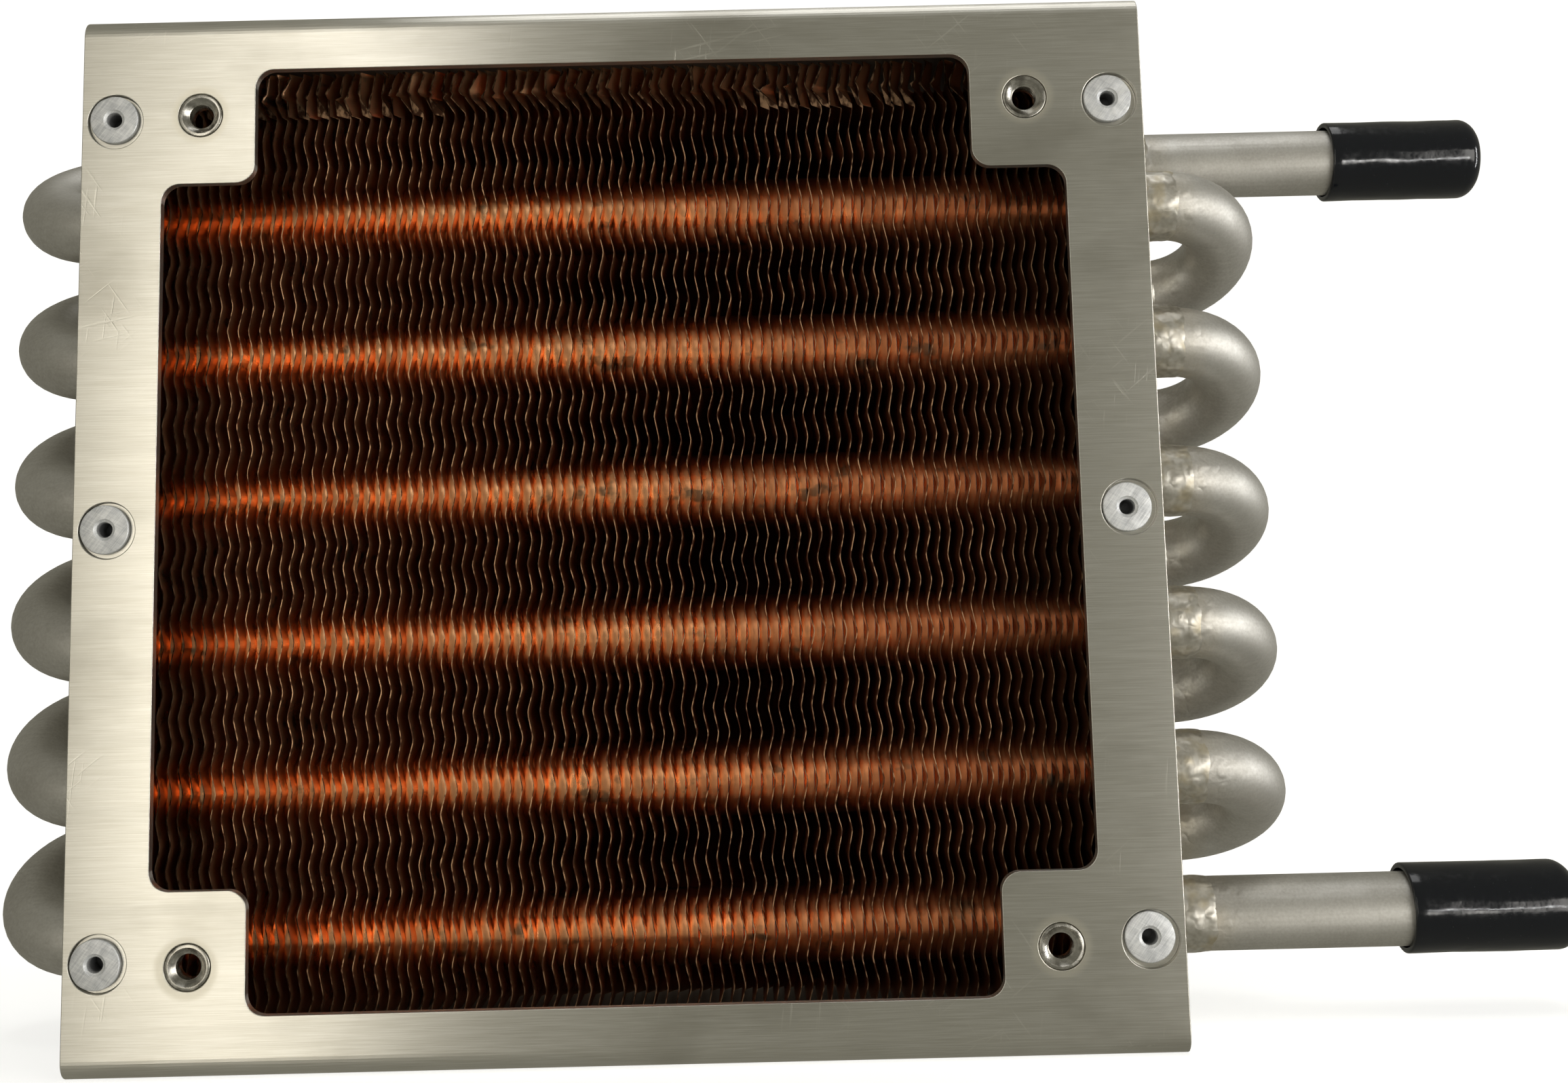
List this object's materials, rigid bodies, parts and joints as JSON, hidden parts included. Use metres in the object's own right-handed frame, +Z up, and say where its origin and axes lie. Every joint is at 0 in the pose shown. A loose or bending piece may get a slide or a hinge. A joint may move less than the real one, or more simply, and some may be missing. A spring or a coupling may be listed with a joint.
{
  "type": "tube-and-fin liquid cooler",
  "caption": "Tube-and-fin liquid cooler: copper fins on stainless hairpin tubes in a riveted frame with a fan plate and two capped tube ends.",
  "frame": {"origin": "centre of the underside of the frame, on the fan plate's bottom flange", "axes": "+X along the tubes, towards the capped tube ends; +Y along the air flow, with the fan side facing -Y; +Z up"},
  "size_m": [0.2101, 0.049, 0.131],
  "materials": {
    "fan_plate": "brushed sheet",
    "end_plates": "brushed sheet",
    "tubes": "pickled stainless, satin",
    "weld_metal": "pickled weld",
    "fins": "bare copper sheet",
    "rivets": "filed flush",
    "clinch_nuts": "plated",
    "caps": "dipped vinyl"
  },
  "bodies": {
    "frame_and_core": {"fan_plate": "fan_plate", "left_end_plate": "end_plates", "right_end_plate": "end_plates", "hairpin_tube_1": "tubes", "hairpin_tube_2": "tubes", "hairpin_tube_3": "tubes", "hairpin_tube_4": "tubes", "hairpin_tube_5": "tubes", "hairpin_tube_6": "tubes", "return_bend_1": "tubes", "return_bend_2": "tubes", "return_bend_3": "tubes", "return_bend_4": "tubes", "return_bend_5": "tubes", "upper_tube_end": "tubes", "lower_tube_end": "tubes", "weld_bead_01": "weld_metal", "weld_bead_02": "weld_metal", "weld_bead_03": "weld_metal", "weld_bead_04": "weld_metal", "weld_bead_05": "weld_metal", "weld_bead_06": "weld_metal", "weld_bead_07": "weld_metal", "weld_bead_08": "weld_metal", "weld_bead_09": "weld_metal", "weld_bead_10": "weld_metal", "weld_bead_11": "weld_metal", "weld_bead_12": "weld_metal", "fin_bundle_1": "fins", "fin_bundle_2": "fins", "fin_bundle_3": "fins", "fin_bundle_4": "fins", "fin_bundle_5": "fins", "fin_bundle_6": "fins", "fin_bundle_7": "fins", "left_top_rivet": "rivets", "left_middle_rivet": "rivets", "left_bottom_rivet": "rivets", "right_top_rivet": "rivets", "right_middle_rivet": "rivets", "right_bottom_rivet": "rivets", "top_left_clinch_nut": "clinch_nuts", "top_right_clinch_nut": "clinch_nuts", "bottom_left_clinch_nut": "clinch_nuts", "bottom_right_clinch_nut": "clinch_nuts"},
    "upper_cap": {"upper_cap": "caps"},
    "lower_cap": {"lower_cap": "caps"}
  },
  "joints": [
    {"name": "upper_cap_slide", "type": "slide", "parent": "frame_and_core", "child": "upper_cap", "axis": [1, 0, 0], "range_m": [0, 0.025]},
    {"name": "lower_cap_slide", "type": "slide", "parent": "frame_and_core", "child": "lower_cap", "axis": [1, 0, 0], "range_m": [0, 0.025]}
  ]
}
